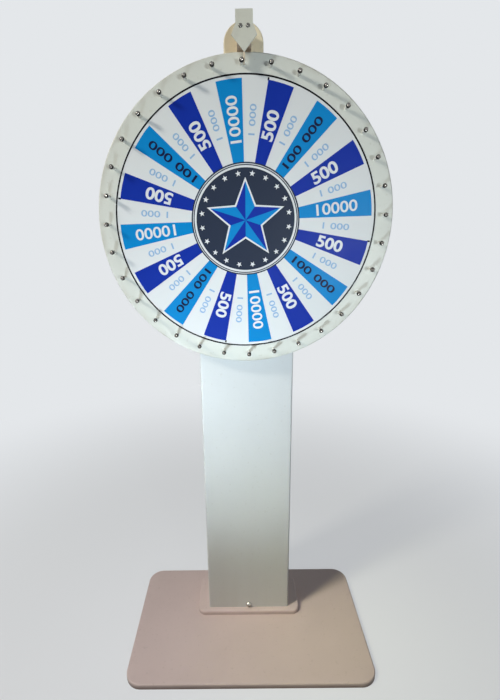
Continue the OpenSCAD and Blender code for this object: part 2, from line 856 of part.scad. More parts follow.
module pointer_post() {
    color(white_paint) difference() {
        union() {
            translate([0, post_y + post_t / 2, post_bottom_z]) linear_extrude(post_arch_z - post_bottom_z)
                rounded_section(post_w, post_t, post_edge_r);
            translate([0, post_y + post_t / 2, post_arch_z]) rotate([90, 0, 0]) rotate_extrude(angle = 180)
                intersection() {
                    rounded_section(post_w, post_t, post_edge_r);
                    translate([0, -post_t]) square([post_w, 2 * post_t]);
                }
        }
        post_screw_places() sunk_screw(wood_screw_d, post_screw_l, wood_screw_head_d);
        block_screw_places() sunk_screw(wood_screw_d, block_screw_l, wood_screw_head_d);
    }
}

module post_screws() {
    color(steel) post_screw_places() sunk_screw(wood_screw_d, post_screw_l, wood_screw_head_d);
}

module pointer_block() {
    slot_w = flapper_t + 2 * flapper_slot_gap;
    slot_d = flapper_front_gap + flapper_w + flapper_slot_gap;
    color([0.42, 0.30, 0.22]) difference() {
        translate([-block_w / 2, block_front_y, block_z]) cube([block_w, post_y - block_front_y, block_h]);
        translate([-slot_w / 2, block_front_y - cut, block_z - cut])
            cube([slot_w, slot_d + cut, flapper_grip + flapper_slot_gap + cut]);
        flapper_pin_place(-block_w) cylinder(d = flapper_pin_d, h = 2 * block_w);
        block_screw_places() sunk_screw(wood_screw_d, block_screw_l, wood_screw_head_d);
        pointer_screw_places() translate([0, 0, -pointer_screw_l])
            cylinder(d = pointer_screw_d, h = pointer_screw_l);
    }
}

module block_screws() {
    color(steel) block_screw_places() sunk_screw(wood_screw_d, block_screw_l, wood_screw_head_d);
}

module pointer_plate() {
    right = [
        [pointer_stem_w / 2, pointer_top_z], [pointer_stem_w / 2, pointer_stem_z],
        [pointer_barb_w / 2, pointer_barb_z]
    ];
    left = [for (i = [2 : -1 : 0]) [-right[i][0], right[i][1]]];
    color(pointer_paint) difference() {
        facing_front(0, block_front_y, 0) linear_extrude(pointer_t)
            polygon(concat(right, [[0, pointer_tip_z]], left));
        pointer_screw_places() translate([0, 0, -pointer_t - cut])
            cylinder(d = pointer_screw_d, h = pointer_t + 2 * cut);
    }
}

module pointer_screws() {
    color(bright_steel) pointer_screw_places()
        dome_screw(pointer_screw_d, pointer_screw_l, 2 * pointer_screw_d, 0.6 * pointer_screw_d);
}

// Strip laid flat with its top on y = 0, square there and rounded at the two corners of its free end
module flapper_outline() {
    flapper_l = flapper_reach + flapper_grip;
    corner_x = flapper_w / 2 - flapper_corner_r;
    translate([-flapper_w / 2, 0]) square([flapper_w, flapper_l - flapper_corner_r]);
    translate([-corner_x, 0]) square([2 * corner_x, flapper_l]);
    for (x = [-1, 1]) translate([x * corner_x, flapper_l - flapper_corner_r]) circle(r = flapper_corner_r);
}

module flapper() {
    color([0.80, 0.70, 0.58]) difference() {
        translate([-flapper_t / 2, flapper_y, block_z + flapper_grip]) rotate([90, 180, 90])
            linear_extrude(flapper_t) flapper_outline();
        flapper_pin_place(-flapper_t) cylinder(d = flapper_pin_d, h = 2 * flapper_t);
    }
}

module flapper_pin() {
    color(steel) flapper_pin_place(-block_w / 2) cylinder(d = flapper_pin_d, h = block_w);
}

base_board();
collar_plate();
plug_block();
base_screws();
plug_inserts();
foot_bolts();
column_front_panel();
column_back_panel();
column_left_side();
column_right_side();
corner_battens();
column_top_cap();
panel_screws();
front_bearing_housing();
front_bearing_outer_ring();
front_bearing_inner_ring();
front_bearing_balls();
front_bearing_cage();
rear_bearing_housing();
rear_bearing_outer_ring();
rear_bearing_inner_ring();
rear_bearing_balls();
rear_bearing_cage();
bearing_circlips();
bearing_bolts();
bearing_nuts();
shaft();
hub_spacer();
hub_flange();
hub_screws();
hub_set_screw();
lock_collar();
lock_collar_screw();
wheel_board();
face_print();
azure_sectors();
royal_sectors();
border_line();
medallion_disc();
medallion_rings();
peg_posts();
peg_caps();
peg_screws();
pointer_post();
post_screws();
pointer_block();
block_screws();
pointer_plate();
pointer_screws();
flapper();
flapper_pin();
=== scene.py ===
"""Prize wheel on a floor stand, dressed piece by piece in the order that it is put together."""

import math

import bmesh
import bpy
from mathutils import Matrix, Vector


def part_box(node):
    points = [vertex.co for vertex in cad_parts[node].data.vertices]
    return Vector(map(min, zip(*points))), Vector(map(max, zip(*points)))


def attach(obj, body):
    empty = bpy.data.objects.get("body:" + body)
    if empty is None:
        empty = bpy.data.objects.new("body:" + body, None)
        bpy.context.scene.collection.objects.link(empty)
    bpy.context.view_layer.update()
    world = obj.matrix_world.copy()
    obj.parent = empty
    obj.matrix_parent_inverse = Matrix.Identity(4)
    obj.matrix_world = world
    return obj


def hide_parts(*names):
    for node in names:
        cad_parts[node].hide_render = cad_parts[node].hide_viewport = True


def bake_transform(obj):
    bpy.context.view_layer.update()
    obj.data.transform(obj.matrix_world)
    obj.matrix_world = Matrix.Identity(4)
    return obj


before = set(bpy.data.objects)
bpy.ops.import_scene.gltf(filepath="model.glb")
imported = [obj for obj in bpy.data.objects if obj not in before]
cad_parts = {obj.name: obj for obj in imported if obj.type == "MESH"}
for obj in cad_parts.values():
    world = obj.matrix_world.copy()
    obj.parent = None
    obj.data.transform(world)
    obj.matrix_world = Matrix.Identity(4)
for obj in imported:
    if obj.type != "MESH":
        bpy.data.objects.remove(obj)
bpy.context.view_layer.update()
scene = bpy.context.scene

# Base board and collar plate
# Two flat boards, rounded over along the top and sprayed a warm off-white. The paint has a fine
# stipple, cloudy patches and scuffs along the edges. Painted shade darkens, in patches, the lower part
# of the base board's edge and the collar's side just above the board.


class Wire:
    """A shader socket that can stand in a Python sum; each sum adds one Math node."""

    def __init__(self, finish, socket):
        self.finish = finish
        self.socket = socket

    def __add__(self, other):
        return self.finish.calc("ADD", self, other)

    def __sub__(self, other):
        return self.finish.calc("SUBTRACT", self, other)

    def __rsub__(self, other):
        return self.finish.calc("SUBTRACT", other, self)

    def __mul__(self, other):
        return self.finish.calc("MULTIPLY", self, other)

    def __truediv__(self, other):
        return self.finish.calc("DIVIDE", self, other)

    def __pow__(self, other):
        return self.finish.calc("POWER", self, other)

    __radd__ = __add__
    __rmul__ = __mul__


class Finish:
    """One material with a Principled shader; node() adds any node and returns its socket."""

    def __init__(self, name, **sockets):
        self.material = bpy.data.materials.new(name)
        self.material.use_nodes = True
        self.tree = self.material.node_tree
        self.shader = self.tree.nodes["Principled BSDF"]
        for socket, value in sockets.items():
            self.shader.inputs[socket.replace("_", " ")].default_value = value
        self.place = self.node("ShaderNodeTexCoord", out="Object")

    def node(self, kind, settings=None, sockets=None, out=0):
        made = self.tree.nodes.new(kind)
        for setting, value in (settings or {}).items():
            setattr(made, setting, value)
        for socket, value in (sockets or {}).items():
            self.plug(made.inputs[socket], value)
        return Wire(self, made.outputs[out])

    def plug(self, socket, value):
        if isinstance(value, Wire):
            self.tree.links.new(value.socket, socket)
        else:
            socket.default_value = value

    def feed(self, socket, value):
        self.plug(self.shader.inputs[socket], value)

    def calc(self, operation, *values):
        return self.node("ShaderNodeMath", {"operation": operation}, dict(enumerate(values)))

    def stretched(self, scale, turn=(0, 0, 0)):
        sockets = {"Vector": self.place, "Scale": scale, "Rotation": turn}
        return self.node("ShaderNodeMapping", None, sockets)

    def noise(self, scale, detail=3.0, place=None):
        sockets = {"Vector": place or self.place, "Scale": scale, "Detail": detail, "Roughness": 0.55}
        return self.node("ShaderNodeTexNoise", None, sockets)

    def between(self, value, low, high, start=0.0, end=1.0):
        """Eases from start to end while a value goes from low to high."""
        settings = {"interpolation_type": "SMOOTHSTEP"}
        sockets = {0: value, 1: low, 2: high, 3: start, 4: end}
        return self.node("ShaderNodeMapRange", settings, sockets)

    def mix(self, factor, first, second):
        """One colour where the factor is 0, another where it is 1."""
        sockets = {0: factor, 6: first, 7: second}
        return self.node("ShaderNodeMix", {"data_type": "RGBA"}, sockets, out=2)

    def axes(self):
        split = self.tree.nodes.new("ShaderNodeSeparateXYZ")
        self.plug(split.inputs[0], self.place)
        return [Wire(self, socket) for socket in split.outputs]

    def bump(self, height, distance, strength=1.0):
        sockets = {"Height": height, "Distance": distance, "Strength": strength}
        self.feed("Normal", self.node("ShaderNodeBump", None, sockets))


def linear(red, green, blue):
    """A screen colour, 0 to 255 a channel, as the linear colour that a shader takes."""
    shares = [channel / 255 for channel in (red, green, blue)]
    return tuple(c / 12.92 if c <= 0.04045 else ((c + 0.055) / 1.055) ** 2.4 for c in shares) + (1.0,)


def shade(colour, factor):
    """The same colour, darker or lighter."""
    return tuple(channel * factor for channel in colour[:3]) + (1.0,)


def dress(finish, *nodes):
    """Gives a finish to CAD nodes."""
    for name in nodes:
        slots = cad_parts[name].data.materials
        slots.clear()
        slots.append(finish.material)


def sprayed_paint(name, colour, dusty, roughness, stipple=420.0):
    """Satin paint on board: cloudy tone, a fine stipple, and a roughness that wanders."""
    paint = Finish(name, IOR=1.46)
    cloud = paint.between(paint.noise(3.2, detail=4.0), 0.35, 0.7)
    speck = paint.between(paint.noise(95.0, detail=2.0), 0.62, 0.75)
    tone = paint.mix(cloud, colour, shade(colour, 0.95))
    paint.tone = paint.mix(speck * 0.22, tone, dusty)
    paint.gloss = roughness + 0.12 * (cloud - 0.5)
    paint.feed("Base Color", paint.tone)
    paint.feed("Roughness", paint.gloss)
    paint.bump(paint.noise(stipple, detail=2.0), distance=0.00006)
    return paint


base_dust = linear(182, 166, 158)
# Dark brown for the painted shade low on the board's edge and on the collar's side
base_painted_shade = linear(102, 78, 64)
base_paint = sprayed_paint("base_paint", linear(221, 203, 199), base_dust, roughness=0.48)
base_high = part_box("base_board")[1]
collar_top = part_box("collar_plate")[1].z
base_x, base_y, base_z = base_paint.axes()
edge_x = base_paint.calc("ABSOLUTE", base_x) / base_high.x
edge_y = base_paint.calc("ABSOLUTE", base_y) / base_high.y
near_edge = base_paint.calc("MAXIMUM", edge_x, edge_y)
scuff_place = base_paint.stretched((16.0, 24.0, 20.0), turn=(0, 0, 0.5))
scuff = base_paint.between(base_paint.noise(1.0, detail=5.0, place=scuff_place), 0.52, 0.78)
scuffed = scuff * base_paint.between(near_edge, 0.72, 1.0, start=0.1, end=0.7)
# Painted shade: darker low on the base board's edge, and on the collar's side just above the board
edge_painted_shade = base_paint.between(base_z, 0.0, base_high.z * 0.9, start=0.85, end=0.0)
corner_low, corner_high = base_high.z + 0.0003, base_high.z + 0.0009
corner_start = base_paint.between(base_z, corner_low, corner_high)
fade_low, fade_high = base_high.z + 0.006, collar_top - 0.003
collar_painted_shade = corner_start * base_paint.between(base_z, fade_low, fade_high, start=0.36, end=0.0)
shade_patches = base_paint.between(base_paint.noise(14.0), 0.3, 0.6, start=0.8, end=1.0)
painted_shade = (edge_painted_shade + collar_painted_shade) * shade_patches
scuffed_tone = base_paint.mix(scuffed * 0.3, base_paint.tone, base_dust)
base_paint.feed("Base Color", base_paint.mix(painted_shade, scuffed_tone, base_painted_shade))
base_paint.feed("Roughness", base_paint.gloss + scuffed * 0.15)
dress(base_paint, "base_board", "collar_plate")

# Plug block and its fixings
# A planed softwood block that the hollow column slides over, screwed up through the base. Brass
# inserts in its front and back take the foot bolts.


def planed_wood(name, pale, dark, grain, ring_scale, roughness):
    """Wood with its grain along one axis: growth bands, fine pores and a low ridge bump."""
    wood = Finish(name)
    along = wood.stretched(grain)
    bands = wood.noise(ring_scale, detail=2.0, place=along)
    band = wood.between(wood.calc("SINE", bands * 60.0), -1.0, 1.0)
    pores = wood.between(wood.noise(ring_scale * 9, place=along), 0.5, 0.72)
    wood.feed("Base Color", wood.mix(pores * 0.4, wood.mix(band, pale, dark), shade(dark, 0.6)))
    wood.feed("Roughness", roughness + pores * 0.15)
    wood.bump(pores * 0.6 + band * 0.4, distance=0.00012, strength=0.6)
    return wood


def worn_metal(name, colour, roughness):
    """Plated steel or brass: fine scratches in the roughness and a little tarnish."""
    metal = Finish(name, Metallic=1.0)
    tarnish = metal.between(metal.noise(60.0, detail=4.0), 0.45, 0.75)
    scratch = metal.noise(900.0, detail=2.0)
    metal.feed("Base Color", metal.mix(tarnish * 0.35, colour, shade(colour, 0.6)))
    metal.feed("Roughness", roughness + tarnish * 0.12 + scratch * 0.1)
    metal.bump(scratch, distance=0.00001, strength=0.4)
    return metal


softwood = planed_wood(
    "softwood", linear(206, 176, 132), linear(176, 138, 92),
    grain=(2.0, 2.0, 0.3), ring_scale=14.0, roughness=0.6,
)
zinc = worn_metal("zinc_plate", linear(190, 192, 196), roughness=0.32)
brass = worn_metal("brass", linear(206, 170, 92), roughness=0.3)
dress(softwood, "plug_block", "corner_battens")
dress(brass, "plug_inserts", "front_bearing_cage", "rear_bearing_cage")
dress(zinc, "base_screws", "bearing_nuts", "bearing_circlips", "hub_set_screw", "lock_collar_screw")

# Column
# A box of four board panels with a cap, its upright edges rounded, rolled in white satin paint. The
# roller leaves broad, very faint upright bands, and the paint grows greyer towards the foot.

column_grey = linear(176, 170, 160)
column_paint = sprayed_paint(
    "column_paint", linear(214, 217, 218), column_grey, roughness=0.42, stipple=380.0
)
column_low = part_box("column_front_panel")[0]
column_height = column_paint.axes()[2]
roller_place = column_paint.stretched((9.0, 9.0, 0.7))
streak = column_paint.between(column_paint.noise(1.0, detail=2.0, place=roller_place), 0.35, 0.7)
foot_reach = 0.35
# The paint is mixed greyer and darker over the lowest part of the column
foot_darkening = column_paint.between(column_height, column_low.z, column_low.z + foot_reach, start=1.0, end=0.0)
column_darkening = foot_darkening * (0.3 + 0.15 * streak) + streak * 0.03
column_paint.feed("Base Color", column_paint.mix(column_darkening, column_paint.tone, column_grey))
dress(
    column_paint, "column_front_panel", "column_back_panel", "column_left_side", "column_right_side",
    "column_top_cap",
)

# Foot bolts, panel screws and the other fixings that show a head
# Domed and countersunk heads with a hexagon socket or a cross recess. One head is modelled for each
# kind and set out by a node tree at the places where the real ones are driven.


def socket_reach(angle, across):
    """Reach of a hexagon, across its flats, at an angle from its middle."""
    sixth = math.pi / 3
    return across / 2 / math.cos((angle % sixth) - sixth / 2)


def cross_reach(angle, across):
    """Reach of a cross recess at an angle from its middle."""
    cos, sin = max(abs(math.cos(angle)), 1e-6), max(abs(math.sin(angle)), 1e-6)
    arm, half = across / 2, across / 7
    return max(min(arm / cos, half / sin), min(arm / sin, half / cos))


def dome_rise(radius, height, mouth):
    """Outline of a domed head, (radius, z) from its seat up to the mouth of its recess."""
    steps = 6
    ball = (radius * radius + height * height) / (2 * height)
    low = math.asin(min(1.0, radius / ball))
    high = math.asin(mouth / ball)
    angles = [low + (high - low) * i / steps for i in range(steps + 1)]
    return [(ball * math.sin(a), ball * math.cos(a) - (ball - height)) for a in angles]


def skin(mesh, rings):
    """Walls between rings of corners, and a face on either end."""
    for near, far in zip(rings, rings[1:]):
        for i in range(len(near)):
            j = (i + 1) % len(near)
            mesh.faces.new((near[i], near[j], far[j], far[i]))
    mesh.faces.new(list(reversed(rings[0])))
    mesh.faces.new(rings[-1])


def closed_mesh(name, mesh):
    """The finished mesh of a closed shape, its faces turned outwards."""
    bmesh.ops.recalc_face_normals(mesh, faces=mesh.faces)
    data = bpy.data.meshes.new(name)
    mesh.to_mesh(data)
    mesh.free()
    return data


def smooth(data):
    """Smooth shading with its creases kept."""
    crease_angle = 0.6
    data.shade_smooth()
    data.set_sharp_from_angle(angle=crease_angle)
    return data


def driven_head(name, rise, reach, across, depth, shank_radius, shank_length):
    """A screw along +Z with its head's seat at z = 0; rise is the head's outline from the seat up."""
    turns = 48
    angles = [2 * math.pi * i / turns for i in range(turns)]
    seat, top = rise[0][1], rise[-1][1]
    mouth = [reach(angle, across) for angle in angles]
    outline = [(shank_radius, -shank_length), (shank_radius, seat)] + rise
    rings = [[point] * turns for point in outline]
    rings += [[(radius, top) for radius in mouth], [(radius * 0.9, top - depth) for radius in mouth]]
    mesh = bmesh.new()
    skin(mesh, [
        [mesh.verts.new((r * math.cos(a), r * math.sin(a), z)) for a, (r, z) in zip(angles, ring)]
        for ring in rings
    ])
    bmesh.ops.remove_doubles(mesh, verts=mesh.verts, dist=1e-7)
    return smooth(closed_mesh(name, mesh))


def placed(name, data):
    """An object at the origin that holds a mesh, a curve, a lamp or a camera."""
    made = bpy.data.objects.new(name, data)
    scene.collection.objects.link(made)
    return made


def set_out(name, pattern, spots, finish, body, slot, *nodes):
    """Copies a pattern mesh to (place, turn) spots with a node tree, as one plain mesh on a body."""
    tree = bpy.data.node_groups.new(name + "_layout", "GeometryNodeTree")
    for label, kind in (("Spots", "Geometry"), ("Pattern", "Object"), ("Finish", "Material")):
        tree.interface.new_socket(label, in_out="INPUT", socket_type="NodeSocket" + kind)
    tree.interface.new_socket("Pieces", in_out="OUTPUT", socket_type="NodeSocketGeometry")
    start = tree.nodes.new("NodeGroupInput")
    shape = tree.nodes.new("GeometryNodeObjectInfo")
    turn = tree.nodes.new("GeometryNodeInputNamedAttribute")
    turn.data_type = "FLOAT_VECTOR"
    turn.inputs["Name"].default_value = "turn"
    copies = tree.nodes.new("GeometryNodeInstanceOnPoints")
    realize = tree.nodes.new("GeometryNodeRealizeInstances")
    paint = tree.nodes.new("GeometryNodeSetMaterial")
    end = tree.nodes.new("NodeGroupOutput")
    for source, target in (
        (start.outputs["Spots"], copies.inputs["Points"]),
        (start.outputs["Pattern"], shape.inputs["Object"]),
        (shape.outputs["Geometry"], copies.inputs["Instance"]),
        (turn.outputs["Attribute"], copies.inputs["Rotation"]),
        (copies.outputs["Instances"], realize.inputs["Geometry"]),
        (realize.outputs["Geometry"], paint.inputs["Geometry"]),
        (start.outputs["Finish"], paint.inputs["Material"]),
        (paint.outputs["Geometry"], end.inputs["Pieces"]),
    ):
        tree.links.new(source, target)
    data = bpy.data.meshes.new(name + "_spots")
    data.from_pydata([place for place, _ in spots], [], [])
    turns = data.attributes.new("turn", "FLOAT_VECTOR", "POINT")
    for value, (_, angles) in zip(turns.data, spots):
        value.vector = angles
    template = placed(name + "_pattern", pattern)
    layout = placed(name, data)
    modifier = layout.modifiers.new("layout", "NODES")
    modifier.node_group = tree
    inputs = {item.name: item.identifier for item in tree.interface.items_tree if item.in_out == "INPUT"}
    modifier[inputs["Pattern"]] = template
    modifier[inputs["Finish"]] = finish.material
    evaluated = layout.evaluated_get(bpy.context.evaluated_depsgraph_get())
    plain = bpy.data.meshes.new_from_object(evaluated)
    plain.name = name
    layout.modifiers.remove(modifier)
    layout.data = plain
    bpy.data.objects.remove(template)
    if not plain.materials:
        plain.materials.append(finish.material)
    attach(layout, body)
    if nodes:
        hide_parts(*nodes)


def solids_of(node):
    """Boxes, (low, high) each, of the separate solids in a CAD node, from its loose mesh islands."""
    copy = bmesh.new()
    copy.from_mesh(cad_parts[node].data)
    bmesh.ops.remove_doubles(copy, verts=copy.verts, dist=1e-6)
    left = set(copy.verts)
    found = []
    while left:
        stack = [left.pop()]
        island = []
        while stack:
            vert = stack.pop()
            island.append(vert.co.copy())
            for edge in vert.link_edges:
                other = edge.other_vert(vert)
                if other in left:
                    left.remove(other)
                    stack.append(other)
        low = Vector([min(co[k] for co in island) for k in range(3)])
        high = Vector([max(co[k] for co in island) for k in range(3)])
        found.append((low, high))
    copy.free()
    return sorted(found, key=lambda pair: tuple(round(c, 5) for c in pair[0]))


to_front = (math.pi / 2, 0, 0)
to_back = (-math.pi / 2, 0, 0)
upward = (0, 0, 0)
column_middle_y = (column_low.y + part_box("column_back_panel")[1].y) / 2


def head_spots(node, facing, rise):
    """Seats of the heads in a node: a head's rise behind the end that faces the given way."""
    spots = []
    for low, high in solids_of(node):
        middle = (low + high) / 2
        front = facing == "front" or (facing == "outward" and middle.y < column_middle_y)
        seat_y = low.y + rise if front else high.y - rise
        spots.append(((middle.x, seat_y, middle.z), to_front if front else to_back))
    return spots


chrome = worn_metal("bright_chrome", linear(104, 100, 96), roughness=0.14)
pale_satin = worn_metal("pale_satin", linear(190, 186, 178), roughness=0.16)
foot_radius, foot_dome, foot_cad_rise = 0.0105, 0.0095, 0.005
foot_head = driven_head(
    "foot_bolt", dome_rise(foot_radius, foot_dome, mouth=0.0035), socket_reach,
    across=0.004, depth=0.0028, shank_radius=0.004, shank_length=0.033,
)
foot_spots = head_spots("foot_bolts", "outward", foot_cad_rise)
set_out("foot_bolt_heads", foot_head, foot_spots, pale_satin, "stand", "bright_chrome", "foot_bolts")

bolt_radius, bolt_rise = 0.007, 0.004
for name, node, facing, length, body in (
    ("bearing_bolt", "bearing_bolts", "outward", 0.031, "stand"),
    ("hub_screw", "hub_screws", "back", 0.02, "wheel"),
):
    bolt_head = driven_head(
        name, dome_rise(bolt_radius, bolt_rise, mouth=0.0036), socket_reach,
        across=0.005, depth=0.0024, shank_radius=0.004, shank_length=length,
    )
    bolt_spots = head_spots(node, facing, bolt_rise)
    set_out(name + "_heads", bolt_head, bolt_spots, chrome, body, "bright_chrome", node)

wood_radius, wood_rise, wood_shank = 0.004, 0.002, 0.002
wood_head = driven_head(
    "wood_screw", [(wood_shank, 0.0), (wood_radius, wood_rise)], cross_reach,
    across=0.0042, depth=0.0014, shank_radius=wood_shank, shank_length=0.025,
)
cap_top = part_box("column_top_cap")[1].z
near_top = 0.001
panel_spots = []
for low, high in solids_of("panel_screws"):
    middle = (low + high) / 2
    if high.z > cap_top - near_top:
        panel_spots.append(((middle.x, middle.y, high.z - wood_rise), upward))
    else:
        panel_spots.append(((middle.x, high.y - wood_rise, middle.z), to_back))
for name, node, spots in (
    ("panel_screw_heads", "panel_screws", panel_spots),
    ("post_screw_heads", "post_screws", head_spots("post_screws", "front", wood_rise)),
    ("block_screw_heads", "block_screws", head_spots("block_screws", "back", wood_rise)),
):
    set_out(name, wood_head, spots, zinc, "stand", "zinc_steel", node)

# Bearings, shaft and hub
# Cast housings in grey paint, ground bearing steel, a turned steel shaft with its spacer and lock
# collar, and a turned aluminium hub whose faces keep the rings that the lathe left.

wheel_low, wheel_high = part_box("wheel_board")
wheel_centre = (wheel_low + wheel_high) / 2
casting = Finish("grey_casting", Specular_IOR_Level=0.4)
lump = casting.noise(260.0, detail=4.0)
chip = casting.between(casting.noise(70.0, detail=5.0), 0.66, 0.7)
casting.feed("Base Color", casting.mix(chip, linear(96, 101, 106), linear(66, 60, 56)))
casting.feed("Roughness", 0.5 + lump * 0.2)
casting.bump(lump - chip * 0.6, distance=0.0003, strength=0.7)
dress(casting, "front_bearing_housing", "rear_bearing_housing")


def axis_reach(finish):
    """How far a point lies from the wheel's axis."""
    x, _, z = finish.axes()
    rise = z - wheel_centre.z
    return (x * x + rise * rise) ** 0.5


def turned_metal(name, colour, roughness, ring_pitch):
    """Metal off a lathe: fine rings round the wheel's axis in the roughness and the bump."""
    metal = Finish(name, Metallic=1.0)
    feed_path = axis_reach(metal) + metal.axes()[1]
    ring = metal.calc("SINE", feed_path * (2 * math.pi / ring_pitch))
    stain = metal.between(metal.noise(40.0, detail=4.0), 0.45, 0.7)
    metal.feed("Base Color", metal.mix(stain * 0.3, colour, shade(colour, 0.65)))
    metal.feed("Roughness", roughness + ring * 0.05 + stain * 0.1)
    metal.bump(ring, distance=0.00002, strength=0.5)
    return metal


turned_steel = turned_metal("turned_steel", linear(178, 180, 184), roughness=0.25, ring_pitch=0.0006)
hub_aluminium = turned_metal("hub_aluminium", linear(196, 198, 200), roughness=0.3, ring_pitch=0.0009)
dress(
    turned_steel, "shaft", "hub_spacer", "lock_collar",
    "front_bearing_outer_ring", "front_bearing_inner_ring", "front_bearing_balls",
    "rear_bearing_outer_ring", "rear_bearing_inner_ring", "rear_bearing_balls",
)
dress(hub_aluminium, "hub_flange")

# Wheel board
# A round board with a softened edge, sprayed white and screwed to the hub from behind. Hands that spin
# it have rubbed its edge in patches, where the paint is a little warmer and smoother.

rim_touch = linear(178, 172, 154)
rim_paint = sprayed_paint("rim_paint", linear(219, 222, 215), rim_touch, roughness=0.4, stipple=460.0)
wheel_radius = wheel_high.x
touched_width = 0.02
at_rim = rim_paint.between(axis_reach(rim_paint), wheel_radius - touched_width, wheel_radius)
handled = at_rim * rim_paint.between(rim_paint.noise(9.0, detail=4.0), 0.42, 0.7)
rim_paint.feed("Base Color", rim_paint.mix(handled * 0.4, rim_paint.tone, rim_touch))
rim_paint.feed("Roughness", rim_paint.gloss - handled * 0.12)
dress(rim_paint, "wheel_board")

# Printed face
# White film with azure and royal sectors, a black border line and a dark centre with two thin rings.
# The ink lies under a satin laminate with a fine orange-peel, and shows the grain of the printer.


def printed_film(name, colour):
    """Ink on film under a satin laminate."""
    film = Finish(name, Specular_IOR_Level=0.13)
    grain = film.noise(2600.0, detail=1.0)
    cloud = film.between(film.noise(5.0), 0.35, 0.7)
    inked = film.mix(grain * 0.1, colour, shade(colour, 0.72))
    film.feed("Base Color", film.mix(cloud * 0.12, inked, shade(colour, 0.86)))
    film.feed("Roughness", 0.42 + 0.1 * (cloud - 0.5))
    film.bump(film.noise(330.0, detail=2.0), distance=0.00003, strength=0.5)
    return film


white_film = printed_film("white_film", linear(228, 231, 233))
azure_film = printed_film("azure_film", linear(4, 136, 208))
royal_film = printed_film("royal_film", linear(14, 48, 161))
black_film = printed_film("black_film", linear(16, 16, 20))
navy_film = printed_film("navy_film", linear(41, 50, 69))
pale_film = printed_film("pale_film", linear(150, 186, 222))
dark_film = printed_film("dark_film", linear(12, 20, 58))
dress(white_film, "face_print")
dress(azure_film, "azure_sectors")
dress(royal_film, "royal_sectors")
dress(black_film, "border_line")
dress(navy_film, "medallion_disc", "medallion_rings")

# Numbers on the sectors
# Plain point numbers, printed to read from the middle outwards. Each kind is drawn once and set out
# round the face by the same node tree as the screws.

peg_boxes = solids_of("peg_posts")
sector_count = len(peg_boxes)
sector_angle = 2 * math.pi / sector_count
top_low, top_high = max(peg_boxes, key=lambda pair: pair[1].z)
top_x, top_z = (top_low.x + top_high.x) / 2, (top_low.z + top_high.z) / 2
rest_angle = math.atan2(top_x, top_z - wheel_centre.z)
white_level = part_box("face_print")[0].y
sector_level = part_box("azure_sectors")[0].y
ink_thickness = 0.00012


def number_mesh(name, digits, height, inner, outer, weight):
    """A number that reads outwards along +Z between two radii, its digits' tops to the left."""
    digit_share = 0.69
    curve = bpy.data.curves.new(name, "FONT")
    curve.body = digits
    curve.size = height / digit_share
    curve.offset = weight
    curve.extrude = ink_thickness / 2
    curve.align_x = "CENTER"
    drawn = placed(name, curve)
    bpy.context.view_layer.update()
    evaluated = drawn.evaluated_get(bpy.context.evaluated_depsgraph_get())
    mesh = bpy.data.meshes.new_from_object(evaluated)
    bpy.data.objects.remove(drawn)
    length = max(v.co.x for v in mesh.vertices) - min(v.co.x for v in mesh.vertices)
    stretch = Matrix.Diagonal(((outer - inner) / length, 1, 1, 1))
    reading = Matrix(((0, -1, 0), (0, 0, -1), (1, 0, 0))).to_4x4()
    settle = Matrix.Translation((0, -height / 2, ink_thickness / 2))
    mesh.transform(Matrix.Translation((0, 0, (inner + outer) / 2)) @ reading @ stretch @ settle)
    mesh.name = name
    return mesh


def face_spots(turns, level):
    """Spots at the wheel's middle, each turned clockwise from the top."""
    return [((wheel_centre.x, level, wheel_centre.z), (0, turn, 0)) for turn in turns]


# Name, digits, their height, inner and outer radius, first sector and step, level, weight, slot, film
number_kinds = (
    ("azure_numbers", "10000", 0.028, 0.189, 0.300, 7, 8, sector_level, 0.0006, "white_film", white_film),
    ("royal_numbers", "500", 0.029, 0.204, 0.277, 1, 4, sector_level, 0.0012, "white_film", white_film),
    ("dark_numbers", "100 000", 0.020, 0.165, 0.313, 3, 8, sector_level, 0.0005, "navy_film", dark_film),
    ("pale_numbers", "1 000", 0.016, 0.208, 0.281, 0, 2, white_level, 0.0003, "azure_film", pale_film),
)
for name, digits, height, inner, outer, first, step, level, weight, slot, film in number_kinds:
    number = number_mesh(name, digits, height, inner, outer, weight)
    turns = [rest_angle + (i + 0.5) * sector_angle for i in range(first, sector_count, step)]
    set_out(name, number, face_spots(turns, level), film, "wheel", slot)

# Centre of the face
# A faceted star in azure, royal and white on the dark disc, with a circle of small stars round it,
# and four register marks at the border, all printed on the same film as the sectors.


def inked_shape(name, points):
    """An inked outline as a thin solid in front of y = 0; points are (x, z) from the wheel's middle."""
    mesh = bmesh.new()
    skin(mesh, [[mesh.verts.new((x, y, z)) for x, z in points] for y in (0, -ink_thickness)])
    return closed_mesh(name, mesh)


star_tips = 5


def star_points(outer, inner):
    """Corners of a star, tip and notch in turn, clockwise from the top."""
    corners = []
    for i in range(2 * star_tips):
        reach = outer if i % 2 == 0 else inner
        angle = math.pi * i / star_tips
        corners.append((reach * math.sin(angle), reach * math.cos(angle)))
    return corners


